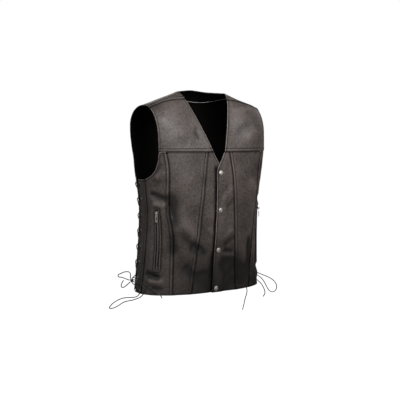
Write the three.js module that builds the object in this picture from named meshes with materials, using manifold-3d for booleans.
// A leather vest with laced sides, in the hollow shape that it takes when worn.
// Millimetres. +Z is up, the front looks to -Y and the wearer's left is +X.
// The origin is where the vest is held: midway between the neck points of its two shoulders.

import * as THREE from "three";
import { mergeVertices } from "three/addons/utils/BufferGeometryUtils.js";
import Module from "manifold-3d";

const wasm = await Module();
wasm.setup();

const HEM_Z = -654;
const YOKE_Z = -190; // seam under the front yokes
const RIDGE_Y = 2; // the shoulder ridge stands a little behind the origin
const NECK_HALF = 89; // neck point from the middle of the back
const BACK_NECK = 70; // the back neckline reaches this far behind the ridge
const SHOULDER_FALL = 0.357; // drop per millimetre outwards
const NAPE_ROUND = 30;
const SHOULDER_SEAM_Y = -26; // the back turns over the ridge down to this seam
const NECK_BEND = 1.2; // 1 is a straight slope from yoke to ridge, 2 a round one
const ARM_BEND = 1.9;
const BACK_BEND = 2.6;

const LEATHER = 1.4;
const LINING = 0.9;
const SEAM = 0.3; // gap between neighbouring pieces
const LAP_RISE = 4.2; // the left front stands this far out where it laps over the right
const SNAP_X = 3;
const SNAPS_Z = [-259, -380, -512, -640];

const STRIP_SEAM = 79; // angles round the body: 0 front, 90 side, 180 back
const FRONT_EYELETS = 94.5;
const FRONT_STRIP_EDGE = 99;
const BACK_STRIP_EDGE = 107.5;
const BACK_EYELETS = 112;
const BACK_SEAM = 120;
const EYELET_TOP_Z = -296;
const EYELET_PITCH = 51.3;
const EYELETS = 7;
const EYELET_RADIUS = 3.2;
const LACE_RADIUS = 1.6;

// z, half width, depth in front, depth behind, squareness in front, behind, middle in y
const RINGS = [
  [-654, 229, 108, 116, 2.5, 2.3, 12],
  [-560, 220, 115, 120, 2.5, 2.3, 12],
  [-470, 212.5, 124, 124, 2.6, 2.3, 13],
  [-372, 210, 130, 130, 2.7, 2.3, 14],
  [-278, 219, 130, 138, 2.9, 2.5, 14],
  [-190, 228, 122, 144, 3.2, 2.9, 12],
  [-110, 241, 122, 144, 3.2, 3.6, 9],
  [-20, 238, 122, 140, 3.2, 3.6, 2],
];
// z, x of the first seam from the opening
const PRINCESS = [
  [-654, 87],
  [-560, 79],
  [-470, 69],
  [-375, 62],
  [-258, 51],
  [-190, 41],
];
// z, x of the second seam
const SECOND_SEAM = [
  [-654, 150],
  [-470, 154],
  [-375, 168],
  [-240, 174],
  [-190, 183],
];
// z, x of the opening and of the neckline above it; under 0 it has crossed the middle
const OPENING = [
  [-654, -12],
  [-262, -12],
  [-250, -11],
  [-240, -7],
  [-227, 0.5],
  [-210, 10.5],
  [-190, 21.5],
  [0, NECK_HALF],
];
// step, z, angle of the armhole under the yoke, from the front round to the back
const ARMHOLE = [
  [0, -190, 52.1],
  [1, -211, 53.3],
  [2, -232, 55.6],
  [3, -252, 59.6],
  [4, -268, 66],
  [5, -279, 76],
  [6, -284, 88],
  [7, -284, 99],
  [8, -280, 107.5],
  [9, -271, 114],
  [10, -250, 120.2],
  [11, -226, 122.8],
  [12, -190, 124.1],
];
// level, x of the armhole over the yoke
const FRONT_ARM = [
  [1, 203],
  [1.5, 208],
  [2, 215],
];
const BACK_ARM = [
  [1, 207],
  [1.25, 214],
  [1.5, 218],
  [2, 215],
];
// z, angle of the back's side edge under the yoke
const BACK_EDGE = [
  [-654, BACK_SEAM],
  [-251, BACK_SEAM],
  [-226, 122.8],
  [-190, 124.1],
];

const FRONT_ROWS = [
  -654, -608, -562, -516, -470, -424, -378, -332, -295, -265, -250, -240, -227,
  -210, -190,
];
const SIDE_ROWS = [
  -654, -608, -562, -516, -470, -424, -378, -332, -290, -250, -220, -190,
];
const BACK_ROWS = [
  -654, -600, -546, -492, -438, -384, -330, -285, -251, -222, -190,
];
const OVER_ROWS = [1 / 6, 1 / 3, 1 / 2, 2 / 3, 5 / 6, 1];

const leather = new THREE.MeshStandardMaterial({
  color: 0x3a302c,
  roughness: 0.6,
});
const lining = new THREE.MeshStandardMaterial({
  color: 0x121212,
  roughness: 0.8,
});
const lace = new THREE.MeshStandardMaterial({
  color: 0x241c18,
  roughness: 0.7,
});
const metal = new THREE.MeshStandardMaterial({
  color: 0x8c867e,
  metalness: 1,
  roughness: 0.35,
});

const group = new THREE.Group();
const { lerp, clamp, degToRad } = THREE.MathUtils;

function ease(t) {
  const s = clamp(t, 0, 1);
  return s * s * (3 - 2 * s);
}

function rowBelow(table, at) {
  let i = 0;
  while (i < table.length - 2 && at >= table[i + 1][0]) i++;
  return i;
}

function straight(table, at, column = 1) {
  const i = rowBelow(table, at);
  const t = clamp((at - table[i][0]) / (table[i + 1][0] - table[i][0]), 0, 1);
  return lerp(table[i][column], table[i + 1][column], t);
}

// The same as one smooth curve: at each inner row its slope is that across the two beside it.
function smooth(table, at, column = 1) {
  const i = rowBelow(table, at);
  const slope = (k) => {
    const a = table[Math.max(k - 1, 0)];
    const b = table[Math.min(k + 1, table.length - 1)];
    return (b[column] - a[column]) / (b[0] - a[0]);
  };
  const h = table[i + 1][0] - table[i][0];
  const t = clamp((at - table[i][0]) / h, 0, 1);
  return (
    (2 * t ** 3 - 3 * t ** 2 + 1) * table[i][column] +
    (t ** 3 - 2 * t ** 2 + t) * h * slope(i) +
    (3 * t ** 2 - 2 * t ** 3) * table[i + 1][column] +
    (t ** 3 - t ** 2) * h * slope(i + 1)
  );
}

// The root of a rising function.
function solve(rises, low, high) {
  for (let k = 0; k < 50; k++) {
    const mid = (low + high) / 2;
    if (rises(mid) < 0) low = mid;
    else high = mid;
  }
  return (low + high) / 2;
}

const levelOf = (z) => (z - HEM_Z) / (YOKE_Z - HEM_Z);
const ridgeZ = (x) => -SHOULDER_FALL * (Math.hypot(x, NAPE_ROUND) - 93);

// Levels run from 0 at the hem over 1 at the yoke seam to 2 on the shoulder ridge.
function ringAt(level) {
  const z =
    level < 1 ? lerp(HEM_Z, YOKE_Z, level) : YOKE_Z + 170 * (level - 1);
  const [half, front, back, frontSquare, backSquare, middle] = [
    1, 2, 3, 4, 5, 6,
  ].map((column) => smooth(RINGS, z, column));
  return { z, half, front, back, frontSquare, backSquare, middle };
}

function onBody(angle, level) {
  const ring = ringAt(level);
  const isFront = angle < 90;
  const square = isFront ? ring.frontSquare : ring.backSquare;
  const sine = Math.sin(degToRad(angle));
  const cosine = Math.cos(degToRad(angle));
  const reach =
    (Math.abs(sine) ** square + Math.abs(cosine) ** square) ** (-1 / square);
  const x = ring.half * reach * sine;
  const depth = (isFront ? ring.front : ring.back) * reach * cosine;
  if (level <= 1) return new THREE.Vector3(x, ring.middle - depth, ring.z);
  const turn = ((level - 1) * Math.PI) / 2;
  const bend = isFront
    ? lerp(NECK_BEND, ARM_BEND, ease((Math.abs(x) - 50) / 150))
    : BACK_BEND;
  const q =
    (Math.sin(turn) ** bend + Math.abs(Math.cos(turn)) ** bend) ** (-1 / bend);
  const up = q * Math.sin(turn);
  return new THREE.Vector3(
    x,
    ring.middle +
      (RIDGE_Y - ring.middle) * up ** 2 -
      depth * q * Math.cos(turn),
    YOKE_Z + (ridgeZ(x) - YOKE_Z) * up,
  );
}

function angleAt(x, level, behind = false) {
  const ring = ringAt(level);
  const square = behind ? ring.backSquare : ring.frontSquare;
  const across = Math.min(Math.abs(x) / ring.half, 1);
  const along = (1 - across ** square) ** (1 / square);
  const angle = (Math.atan2(across, along) * 180 * Math.sign(x)) / Math.PI;
  return behind ? 180 - angle : angle;
}

// A point of the body with the direction out of it; lift stands it off along that direction.
function spot(angle, level, lift = () => 0) {
  const p = onBody(angle, level);
  const n = new THREE.Vector3(SHOULDER_FALL, 0, 1);
  if (level < 1.99) {
    const round = onBody(angle + 0.05, level).sub(onBody(angle - 0.05, level));
    const up = onBody(angle, level + 0.002).sub(onBody(angle, level - 0.002));
    n.crossVectors(round, up);
  }
  return { p, n: n.normalize(), lift: lift(p) };
}

function inset(angle, level, millimetres) {
  const step = onBody(angle + 0.05, level).distanceTo(
    onBody(angle - 0.05, level),
  );
  return angle + (millimetres * 0.1) / step;
}

const mirror = ({ p, n, lift }) => ({
  p: p.clone().multiply(new THREE.Vector3(-1, 1, 1)),
  n: n.clone().multiply(new THREE.Vector3(-1, 1, 1)),
  lift,
});
const mirrored = (sheet) => sheet.map((row) => row.map(mirror).reverse());
const onSide = (sheet, side) => (side === "left" ? sheet : mirrored(sheet));

function add(name, geometry, material) {
  const mesh = new THREE.Mesh(geometry, material);
  mesh.name = name;
  group.add(mesh);
  return mesh;
}

// Geometry with shared vertices and without the faces that a pole squeezes to nothing.
function tidy(geometry) {
  const bare = new THREE.BufferGeometry().setAttribute(
    "position",
    (geometry.index ? geometry.toNonIndexed() : geometry).getAttribute(
      "position",
    ),
  );
  const merged = mergeVertices(bare, 1e-3);
  const faces = merged.index.array;
  const kept = [];
  for (let i = 0; i < faces.length; i += 3) {
    const [a, b, c] = faces.slice(i, i + 3);
    if (a !== b && b !== c && c !== a) kept.push(a, b, c);
  }
  return merged.setIndex(kept);
}

function toSolid(geometry) {
  const tidied = tidy(geometry);
  return new wasm.Manifold(
    new wasm.Mesh({
      numProp: 3,
      vertProperties: new Float32Array(tidied.getAttribute("position").array),
      triVerts: new Uint32Array(tidied.index.array),
    }),
  );
}

function toGeometry(solid) {
  const { vertProperties, triVerts, numProp } = solid.getMesh();
  const position = new Float32Array((vertProperties.length / numProp) * 3);
  for (let i = 0; i < position.length / 3; i++)
    position.set(
      vertProperties.subarray(i * numProp, i * numProp + 3),
      i * 3,
    );
  return new THREE.BufferGeometry()
    .setAttribute("position", new THREE.BufferAttribute(position, 3))
    .setIndex([...triVerts]);
}

// A closed wall between two heights over one or more sheets of spots, which join where they meet.
// A hole is left where open(row, column, sheet) is true.
function wall(sheets, low, high, open = () => false) {
  const points = [];
  const index = new Map();
  const faces = [];
  const vertex = (s) => {
    const key = s.p
      .toArray()
      .map((c) => Math.round(c * 1e3))
      .join();
    if (!index.has(key)) {
      index.set(key, points.length);
      points.push(s);
    }
    return index.get(key);
  };
  sheets.forEach((sheet, part) => {
    for (let i = 0; i < sheet.length - 1; i++)
      for (let j = 0; j < sheet[i].length - 1; j++) {
        if (open(i, j, part)) continue;
        const corners = [
          sheet[i][j],
          sheet[i][j + 1],
          sheet[i + 1][j + 1],
          sheet[i + 1][j],
        ];
        const [a, b, c, d] = corners.map(vertex);
        const [p, q, r, s] = corners.map((corner) => corner.p);
        if (p.distanceTo(r) < q.distanceTo(s) + 1e-6)
          faces.push([a, b, c], [a, c, d]);
        else faces.push([a, b, d], [b, c, d]);
      }
  });
  const count = points.length;
  const heights = [high, low];
  const position = heights.flatMap((height) =>
    points.flatMap(({ p, n, lift }) =>
      p
        .clone()
        .addScaledVector(n, height + lift)
        .toArray(),
    ),
  );
  const edges = new Set(
    faces.flatMap(([a, b, c]) => [`${a},${b}`, `${b},${c}`, `${c},${a}`]),
  );
  const triangles = [];
  for (const [a, b, c] of faces) {
    triangles.push(a, b, c, c + count, b + count, a + count);
    for (const [from, to] of [
      [a, b],
      [b, c],
      [c, a],
    ])
      if (!edges.has(`${to},${from}`))
        triangles.push(
          to,
          from,
          from + count,
          to,
          from + count,
          to + count,
        );
  }
  return new THREE.BufferGeometry()
    .setAttribute("position", new THREE.Float32BufferAttribute(position, 3))
    .setIndex(triangles);
}

// A panel's rows climb from the hem to each column's own top, between two edges given as angles.
function panel({ left, right, columns, rows, top, freeLeft, freeRight, lift }) {
  return rows.map((z) =>
    columns.map((t) => {
      const level = levelOf(z) * top(t);
      const from = inset(left(level), level, freeLeft ? 0 : SEAM / 2);
      const to = inset(right(level), level, freeRight ? 0 : -SEAM / 2);
      return spot(lerp(from, to, t), level, lift);
    }),
  );
}

const underYoke = () => 1 - SEAM / 2 / (YOKE_Z - HEM_Z);
const zOf = (level) => lerp(HEM_Z, YOKE_Z, level);
const openingAngle = (level) =>
  angleAt(straight(OPENING, zOf(level)), level);
const princessAngle = (level) => angleAt(smooth(PRINCESS, zOf(level)), level);
const secondAngle = (level) => angleAt(smooth(SECOND_SEAM, zOf(level)), level);

// The level at which the column t between two edges comes up to the armhole.
function armTop(left, right, from, to) {
  const share = (step) => {
    const level = levelOf(smooth(ARMHOLE, step, 1));
    return (
      (smooth(ARMHOLE, step, 2) - left(level)) / (right(level) - left(level))
    );
  };
  return (t) => {
    if (t < share(from)) return underYoke();
    const step = solve((s) => share(s) - t, from, to);
    return Math.min(levelOf(smooth(ARMHOLE, step, 1)), underYoke());
  };
}

function frontCentre(side) {
  const width = (level) => princessAngle(level) - openingAngle(level);
  const lift = (p) =>
    side === "left"
      ? LAP_RISE * ease((40 - p.x) / 23) * ease((-195 - p.z) / 28)
      : 0;
  const sheet = FRONT_ROWS.map((z) => {
    const level = levelOf(z) * underYoke();
    const all = width(level);
    const left = openingAngle(level);
    const right = inset(left + all, level, -SEAM / 2);
    const near = Math.min(0.17 * all, 3.6);
    const far = Math.min(0.36 * all, 7.6);
    const stops = [0, near, far, lerp(far, all, 0.36), lerp(far, all, 0.7)];
    return [...stops.map((stop) => left + stop), right].map((angle) =>
      spot(angle, level, lift),
    );
  });
  add(
    `${side}_front_centre`,
    wall([onSide(sheet, side)], -LEATHER, 0),
    leather,
  );
}

function frontMiddle(side) {
  const sheet = panel({
    left: princessAngle,
    right: secondAngle,
    columns: [0, 0.25, 0.5, 0.75, 1],
    rows: SIDE_ROWS,
    top: underYoke,
  });
  add(
    `${side}_front_middle`,
    wall([onSide(sheet, side)], -LEATHER, 0),
    leather,
  );
}

const atStripSeam = () => STRIP_SEAM;
const sideColumns = [0, 0.11, 0.213, 0.265, 0.33, 0.435, 0.54, 0.68, 0.84, 1];
const sideSheet = panel({
  left: secondAngle,
  right: atStripSeam,
  columns: sideColumns,
  rows: SIDE_ROWS,
  top: armTop(secondAngle, atStripSeam, 0, 6),
});

function frontSide(side) {
  add(
    `${side}_front_side`,
    wall([onSide(sideSheet, side)], -LEATHER, 0),
    leather,
  );
}

const eyeletZ = (k) => EYELET_TOP_Z - k * EYELET_PITCH;

// A strip with its eyelet holes punched square to the leather.
function strip(name, side, sheet, angle) {
  let solid = toSolid(wall([onSide(sheet, side)], -LEATHER, 0));
  for (let k = 0; k < EYELETS; k++) {
    const at = spot(angle, levelOf(eyeletZ(k)));
    const { p, n } = side === "left" ? at : mirror(at);
    const pin = new THREE.CylinderGeometry(EYELET_RADIUS, EYELET_RADIUS, 8, 8);
    pin.applyQuaternion(
      new THREE.Quaternion().setFromUnitVectors(
        new THREE.Vector3(0, 1, 0),
        n,
      ),
    );
    pin.translate(p.x, p.y, p.z);
    solid = solid.subtract(toSolid(pin));
  }
  add(`${side}_${name}`, toGeometry(solid), leather);
}

function laceStrips(side) {
  const frontEdge = () => FRONT_STRIP_EDGE;
  const backEdge = () => BACK_STRIP_EDGE;
  const backSeam = () => BACK_SEAM;
  strip(
    "lace_strip_front",
    side,
    panel({
      left: atStripSeam,
      right: frontEdge,
      columns: [0, 0.45, 0.775, 1],
      rows: SIDE_ROWS,
      top: armTop(atStripSeam, frontEdge, 4, 8),
      freeRight: true,
    }),
    FRONT_EYELETS,
  );
  strip(
    "lace_strip_back",
    side,
    panel({
      left: backEdge,
      right: backSeam,
      columns: [0, 0.36, 1],
      rows: SIDE_ROWS,
      top: armTop(backEdge, backSeam, 7, 11),
      freeLeft: true,
    }),
    BACK_EYELETS,
  );
}

// Over the yoke seam the neckline and the armhole bound the front at each level.
function neckX(level) {
  let x = 50;
  for (let k = 0; k < 30; k++)
    x = straight(OPENING, onBody(angleAt(x, level), level).z);
  return x;
}

function frontSpot(t, level) {
  const x = lerp(neckX(level), smooth(FRONT_ARM, level), t);
  return spot(angleAt(x, level), level);
}

// The level on the front at which column t has come back to a given y.
const frontLevel = (t, y) =>
  solve((level) => frontSpot(t, level).p.y - y, 1, 1.999);

function frontYoke(side) {
  const columns = [0, 0.12, 0.3, 0.5, 0.7, 0.88, 1];
  const foot = 1 + SEAM / 2 / 200;
  const sheet = [0, 0.2, 0.4, 0.6, 0.8, 1].map((share) =>
    columns.map((t) => {
      const top = frontLevel(t, SHOULDER_SEAM_Y - SEAM / 2);
      return frontSpot(t, lerp(foot, top, share));
    }),
  );
  add(`${side}_front_yoke`, wall([onSide(sheet, side)], -LEATHER, 0), leather);
}

const NECK_CELLS = 4;
const ARM_CELLS = 5;

function backEdgeAngle(level) {
  return level < 1
    ? straight(BACK_EDGE, zOf(level))
    : angleAt(smooth(BACK_ARM, level), level, true);
}

// Angles of one back row from the left edge in to the middle.
function backAngles(level) {
  const edge = backEdgeAngle(level);
  const seam = level < levelOf(-251) ? SEAM / 2 : 0;
  const from = inset(edge, level, seam);
  const onNeck = (k) => {
    const x = NECK_HALF * Math.cos((k * Math.PI) / 2 / NECK_CELLS);
    return angleAt(x, Math.max(level, 1), true);
  };
  const outer = Array.from({ length: ARM_CELLS }, (_, k) =>
    lerp(from, onNeck(0), k / ARM_CELLS),
  );
  const inner = Array.from({ length: NECK_CELLS }, (_, k) => onNeck(k));
  return [...outer, ...inner, 180];
}

// The level at which a column of the back reaches the neckline, a quarter ellipse in plan.
function necklineLevel(column) {
  if (column <= ARM_CELLS) return 2;
  const outside = (level) => {
    const { x, y } = onBody(backAngles(level)[column], level);
    return (x / NECK_HALF) ** 2 + ((y - RIDGE_Y) / BACK_NECK) ** 2 - 1;
  };
  return solve((level) => -outside(level), 1, 2);
}

// The back is one sheet from side to side with a strap over each shoulder.
function backSheets() {
  const half = [
    ...BACK_ROWS.map((z) => {
      const level = levelOf(z);
      return backAngles(level).map((angle) => spot(angle, level));
    }),
    ...OVER_ROWS.map((share) =>
      backAngles(1).map((_, column) => {
        const level = lerp(1, necklineLevel(column), share);
        return spot(backAngles(level)[column], level);
      }),
    ),
  ];
  const main = half.map((row) => [
    ...row,
    ...row.slice(0, -1).map(mirror).reverse(),
  ]);
  const ridge = half.at(-1).slice(0, ARM_CELLS + 1);
  const inner = ridge.at(-1).p.x;
  const strap = [
    ridge,
    ...[0.5, 1].map((share) =>
      ridge.map(({ p }) => {
        const t = (p.x - inner) / (ridge[0].p.x - inner);
        const seam = frontLevel(t, SHOULDER_SEAM_Y + SEAM / 2);
        return frontSpot(t, lerp(1.999, seam, share));
      }),
    ),
  ];
  return [main, strap, mirrored(strap)];
}

const backOuter = backSheets();
const nape = BACK_ROWS.length + OVER_ROWS.length - 2;
const isNape = (row, column) =>
  row === nape &&
  column >= ARM_CELLS &&
  column < ARM_CELLS + 2 * NECK_CELLS;

function back() {
  add("back", wall(backOuter, -LEATHER, 0), leather);
}

// The back's lining is cut to the same sheets and leaves room for the neck facing.
function backLining() {
  const low = -LEATHER - SEAM - LINING;
  const open = (row, column, sheet) => sheet === 0 && isNape(row, column);
  add("back_lining", wall(backOuter, low, -LEATHER - SEAM, open), lining);
}

function neckFacing() {
  const low = -LEATHER - SEAM - LEATHER;
  const cells = 2 * NECK_CELLS;
  const rows = backOuter[0]
    .slice(nape, nape + 2)
    .map((row) => row.slice(ARM_CELLS, ARM_CELLS + cells + 1));
  const toward = (from, to) =>
    to.p
      .clone()
      .sub(from.p)
      .setLength(2 * SEAM);
  const sheet = rows.map((row, i) =>
    row.map((s, j) => {
      const p = s.p.clone();
      if (i === 0) p.add(toward(s, rows[1][j]));
      if (j === 0) p.add(toward(s, row[1]));
      if (j === cells) p.add(toward(s, row[cells - 1]));
      return { ...s, p };
    }),
  );
  add("back_neck_facing", wall([sheet], low, -LEATHER - SEAM), leather);
}

// A place on a sheet's own facets: a column given with a fraction, and a height.
function onSheet(sheet, column, z) {
  const j = Math.min(Math.floor(column), sheet[0].length - 2);
  const between = (a, b, t) => ({
    p: a.p.clone().lerp(b.p, t),
    n: a.n.clone().lerp(b.n, t).normalize(),
    lift: lerp(a.lift, b.lift, t),
  });
  const stack = sheet.map((row) => between(row[j], row[j + 1], column - j));
  let i = 0;
  while (i < stack.length - 2 && stack[i + 1].p.z < z) i++;
  const t = (z - stack[i].p.z) / (stack[i + 1].p.z - stack[i].p.z);
  return between(stack[i], stack[i + 1], t);
}

const POCKET_TOP = -371;
const POCKET_FOOT = -576;
const POCKET_END = 6; // welt across each end of the zip
const POCKET_BAND = [4, 4.55, 5.45, 6]; // columns of the side panel
const WELT = [0.3, 1.9]; // heights over the panel
const TAPE = [0.3, 1.1];

function weltRows() {
  const top = POCKET_TOP - POCKET_END;
  const foot = POCKET_FOOT + POCKET_END;
  const inner = [0, 1, 2, 3, 4, 5, 6, 7].map((k) => lerp(foot, top, k / 7));
  return [POCKET_FOOT, ...inner, POCKET_TOP];
}

function pocket(side) {
  const rows = weltRows();
  const frame = rows.map((z) =>
    POCKET_BAND.map((column) => onSheet(sideSheet, column, z)),
  );
  const isWindow = (i, j) => j === 1 && i > 0 && i < rows.length - 2;
  add(
    `${side}_pocket_welt`,
    wall([onSide(frame, side)], ...WELT, isWindow),
    leather,
  );
  const inner = rows.slice(1, -1);
  inner[0] += 0.4;
  inner[inner.length - 1] -= 0.4;
  const tape = inner.map((z) =>
    [4.6, 5, 5.4].map((column) => onSheet(sideSheet, column, z)),
  );
  add(
    `${side}_zip_tape`,
    wall([onSide(tape, side)], ...TAPE),
    lining,
  );
}

const SLIDER_Z = -387;
const SLIDER = [7, 11, 2.5]; // across, along, out
const PIN_OUT = 6.8; // the pin's height over the panel
const PULL_EYE = 2.4;
const PULL_LENGTH = 29;

// The frame of the zip slider, moved out by some millimetres: X across, Y up the panel, Z out of it.
// A piece that hangs there has Y plumb instead.
function zipPlace(side, out, hangs = false) {
  const at = onSheet(sideSheet, 5, SLIDER_Z);
  const over = onSheet(sideSheet, 5, SLIDER_Z + 6);
  const [a, b] = side === "left" ? [at, over] : [mirror(at), mirror(over)];
  const slope = b.p.clone().sub(a.p).normalize();
  const across = new THREE.Vector3().crossVectors(slope, a.n).normalize();
  const centre = a.p.addScaledVector(
    new THREE.Vector3().crossVectors(across, slope),
    out,
  );
  const up = hangs
    ? new THREE.Vector3(0, 0, 1).projectOnPlane(across).normalize()
    : slope;
  const away = new THREE.Vector3().crossVectors(across, up);
  return new THREE.Matrix4().makeBasis(across, up, away).setPosition(centre);
}

const box = (size, centre) =>
  toSolid(new THREE.BoxGeometry(...size).translate(...centre));
const bar = (radius, length, sides, centre) =>
  toSolid(
    new THREE.CylinderGeometry(radius, radius, length, sides)
      .rotateZ(Math.PI / 2)
      .translate(...centre),
  );

function zipSlider(side) {
  const foot = TAPE[1] + 0.3;
  const top = foot + SLIDER[2];
  let solid = box(SLIDER, [0, 0, foot + SLIDER[2] / 2]);
  for (const x of [-3, 3])
    solid = solid.add(box([1.2, 4.4, 8.1 - top + 0.5], [x, 0, (8.1 + top - 0.5) / 2]));
  solid = solid.add(bar(0.8, 6.4, 8, [0, 0, PIN_OUT]));
  const mesh = add(`${side}_zip_slider`, toGeometry(solid), metal);
  mesh.applyMatrix4(zipPlace(side, 0));
}

function zipPull(side) {
  const outline = new THREE.Shape([
    new THREE.Vector2(-2, 0),
    new THREE.Vector2(-2, -5),
    new THREE.Vector2(-4, -9),
    new THREE.Vector2(-4, 2.5 - PULL_LENGTH),
    new THREE.Vector2(-2.5, -PULL_LENGTH),
    new THREE.Vector2(2.5, -PULL_LENGTH),
    new THREE.Vector2(4, 2.5 - PULL_LENGTH),
    new THREE.Vector2(4, -9),
    new THREE.Vector2(2, -5),
    new THREE.Vector2(2, 0),
  ]);
  const tab = new THREE.ExtrudeGeometry(outline, {
    depth: 1.6,
    bevelEnabled: false,
  }).translate(0, 0, -0.8);
  const solid = toSolid(tab)
    .add(bar(PULL_EYE, 4, 12, [0, 0, 0]))
    .subtract(bar(1.2, 6, 12, [0, 0, 0]))
    .subtract(box([3.6, 9, 4], [0, -18, 0]));
  const mesh = add(`${side}_zip_pull`, toGeometry(solid), metal);
  mesh.applyMatrix4(zipPlace(side, PIN_OUT, true));
}

// A round thing turned about the way out of the front at one snap.
function turned(profile, sides, level, rise) {
  const { p, n } = spot(angleAt(SNAP_X, level), level);
  const points = profile.map(([r, h]) => new THREE.Vector2(r, h));
  const geometry = tidy(new THREE.LatheGeometry(points, sides));
  geometry.applyQuaternion(
    new THREE.Quaternion().setFromUnitVectors(new THREE.Vector3(0, 1, 0), n),
  );
  const at = p.addScaledVector(n, rise);
  return geometry.translate(at.x, at.y, at.z);
}

function snaps() {
  const cap = [
    [0, 0.4],
    [7.7, 0.4],
    [7.7, 1],
    [6.6, 2],
    [3.8, 2.7],
    [0, 2.9],
  ];
  const stud = [
    [0, 0.4],
    [5, 0.4],
    [5, 2.3],
    [0, 2.3],
  ];
  SNAPS_Z.forEach((z, k) => {
    const level = levelOf(z);
    add(`snap_cap_${k + 1}`, turned(cap, 16, level, LAP_RISE), metal);
    add(`snap_stud_${k + 1}`, turned(stud, 12, level, 0), metal);
  });
}

// A lace through its points. The given steps put a ring of the skin on each point.
class Through extends THREE.CatmullRomCurve3 {
  getUtoTmapping(u) {
    return u;
  }
}

function cord(name, curve, steps) {
  const round = new THREE.Shape(
    Array.from({ length: 8 }, (_, k) =>
      new THREE.Vector2(LACE_RADIUS, 0).rotateAround(
        new THREE.Vector2(),
        (k * Math.PI) / 4,
      ),
    ),
  );
  const geometry = new THREE.ExtrudeGeometry(round, {
    steps,
    extrudePath: curve,
    bevelEnabled: false,
  });
  add(name, tidy(geometry), lace);
}

const KNOT = new THREE.Vector3(229, 53, -620); // on the wearer's left
const KNOT_RADIUS = 6.2;

// The two points with which a lace that comes from p ends square to a knot, the nearer one last.
function ontoKnot(p) {
  const centre = KNOT.clone().multiply(
    new THREE.Vector3(Math.sign(p.x), 1, 1),
  );
  const away = p.clone().sub(centre).normalize();
  return [3.5, 0.35].map((gap) =>
    centre.clone().addScaledVector(away, KNOT_RADIUS + gap),
  );
}

// A loose lace: its first point is on the knot, and its last one too if it is a loop.
function strand(name, table) {
  const points = table.map((p) => new THREE.Vector3(...p));
  const body = name.includes("loop") ? points.slice(1, -1) : points.slice(1);
  const route = [...ontoKnot(points[0]).reverse(), ...body];
  if (name.includes("loop")) route.push(...ontoKnot(points.at(-1)));
  const curve = new THREE.CatmullRomCurve3(route);
  cord(name, curve, Math.ceil(curve.getLength() / 9));
}

const overBody = (angle, z, height) => {
  const { p, n } = spot(angle, levelOf(z));
  return p.addScaledVector(n, height);
};

const OVER = 2.2; // lace centre over a strip
const UNDER = -3.7; // and behind it

// One lace half on its way down: out of each eyelet, over the strip's edge, across the gap and behind
// the other strip to its next eyelet. It passes the other half in front or behind.
function laceHalf(start, crossing) {
  const eyelets = [FRONT_EYELETS, BACK_EYELETS];
  const route = [];
  for (let k = 0; k < EYELETS; k++) {
    const here = eyelets[(start + k) % 2];
    const there = eyelets[(start + k + 1) % 2];
    const away = 0.4 * Math.sign(here - there);
    route.push(overBody(here + away, eyeletZ(k), -0.7));
    if (k === EYELETS - 1) break;
    for (const [share, height] of [
      [0.045, OVER],
      [0.257, OVER],
      [0.5, crossing],
      [0.743, UNDER],
      [0.955, UNDER],
    ])
      route.push(
        overBody(lerp(here, there, share), eyeletZ(k + share), height),
      );
  }
  return route;
}

function sideLacing(side) {
  const first = laceHalf(0, 1.4);
  const second = laceHalf(1, -2.5);
  const foot = eyeletZ(EYELETS - 1);
  first.push(
    overBody(FRONT_EYELETS + 1.1, foot - 1.8, OVER),
    ...ontoKnot(new THREE.Vector3(229.6, 49.7, -613.5)),
  );
  second.push(
    overBody(BACK_EYELETS - 1.1, foot - 1.8, OVER),
    ...ontoKnot(new THREE.Vector3(225, 59.4, -617)),
  );
  const across = [FRONT_EYELETS + 1.3, 103.25, BACK_EYELETS - 1.3].map(
    (angle) => overBody(angle, EYELET_TOP_Z, UNDER),
  );
  const route = [...first.reverse(), ...across, ...second];
  if (side === "right") route.forEach((p) => (p.x = -p.x));
  cord(`${side}_lacing`, new Through(route), route.length - 1);
}

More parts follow.
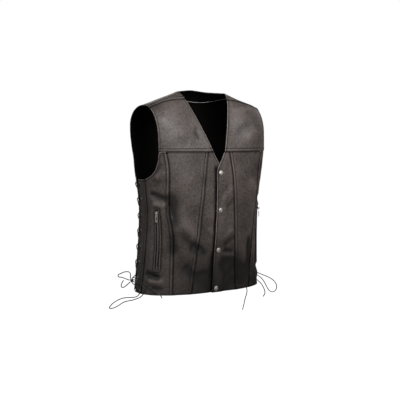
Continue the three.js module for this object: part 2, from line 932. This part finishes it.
// x, y, z of points down the middle of each loose piece of lace
const LOOSE = {
  right_loop_upper: [
    [-231.7, 55.3, -613.5],
    [-231.6, 56.7, -601.9],
    [-234.6, 59.6, -593.4],
    [-243.5, 65.3, -591.6],
    [-256, 72.6, -596.4],
    [-266.7, 78.2, -605.8],
    [-254.6, 70.1, -610.8],
    [-236.1, 56.3, -618.5],
  ],
  right_end_curl: [
    [-234.5, 54.6, -625.5],
    [-242.3, 59.7, -634.2],
    [-250.2, 63.7, -641.6],
    [-257.8, 68.4, -642.7],
    [-257.3, 69.5, -630.3],
    [-251.9, 67.3, -620],
  ],
  right_loop_long: [
    [-228.4, 46, -621.8],
    [-229.1, 11.9, -619.7],
    [-226.9, -14, -622.1],
    [-224.4, -24.6, -630.1],
    [-224.6, -27.4, -641.2],
    [-229, -18.5, -658.4],
    [-246.8, 2.2, -673.1],
    [-274.1, 18.3, -681.3],
    [-294.4, 29.3, -695.6],
    [-308.5, 37.4, -702],
    [-315.3, 41.8, -700.8],
    [-312.3, 40.6, -694.3],
    [-296.6, 32.6, -678.8],
    [-273.6, 19.5, -667.8],
    [-254.8, 8, -666.1],
    [-240.2, -2.1, -662.9],
    [-233.4, -6.9, -655.3],
    [-231.2, -9, -640.8],
    [-230.8, 10.6, -632.6],
    [-229.5, 48.4, -626],
  ],
  right_end_front: [
    [-229.2, 46.3, -617.5],
    [-228.5, 13.2, -613.4],
    [-224.6, -20.9, -616.9],
    [-214.2, -42.4, -627.4],
    [-201.6, -60.9, -639.2],
    [-193, -76.7, -649.5],
    [-189, -80.1, -658.9],
  ],
  left_loop_side: [
    [235.6, 48.9, -619],
    [259.2, 32, -628.6],
    [271.1, 23.9, -634.1],
    [283.3, 15.6, -639.9],
    [299.1, 4.9, -647.8],
    [314.9, -6.7, -662.5],
    [320, -11.9, -680.2],
    [314.9, -10.3, -693.8],
    [305.3, -4.9, -698.6],
    [297.3, 0.6, -694.1],
    [290.8, 6, -682.5],
    [282.2, 13.8, -662],
    [269.2, 22, -644.8],
    [234.2, 48.5, -624.2],
  ],
  left_loop_back: [
    [231.7, 55.3, -613.5],
    [231.6, 56.7, -601.9],
    [234.6, 59.6, -593.4],
    [243.5, 65.3, -591.6],
    [256, 72.6, -596.4],
    [266.7, 78.2, -605.8],
    [254.6, 70.1, -610.8],
    [236.1, 56.3, -618.5],
  ],
  left_end_side: [
    [230.7, 49.6, -627.2],
    [255.4, 32.3, -650.5],
    [268.6, 22.6, -663.7],
    [277.6, 14.4, -678.3],
    [281.9, 10.2, -690.7],
    [283.3, 7.9, -702.1],
    [277.9, 10.2, -716.1],
  ],
  left_end_hem: [
    [227.7, 55.6, -627.2],
    [231, 51, -650],
    [229, 46.2, -679.2],
    [229.7, 43.3, -700.5],
    [223.7, 44.5, -722.7],
    [219, 45.1, -743.4],
    [213.6, 46, -765.2],
  ],
};

function bows() {
  for (const [side, x] of [
    ["left", KNOT.x],
    ["right", -KNOT.x],
  ]) {
    const knot = new THREE.SphereGeometry(KNOT_RADIUS, 12, 8);
    add(`${side}_knot`, tidy(knot.translate(x, KNOT.y, KNOT.z)), lace);
  }
  for (const [name, points] of Object.entries(LOOSE)) strand(name, points);
}

for (const side of ["left", "right"]) {
  frontYoke(side);
  frontCentre(side);
  frontMiddle(side);
  frontSide(side);
  laceStrips(side);
  pocket(side);
  zipSlider(side);
  zipPull(side);
  sideLacing(side);
}
back();
backLining();
neckFacing();
snaps();
bows();

export default group;
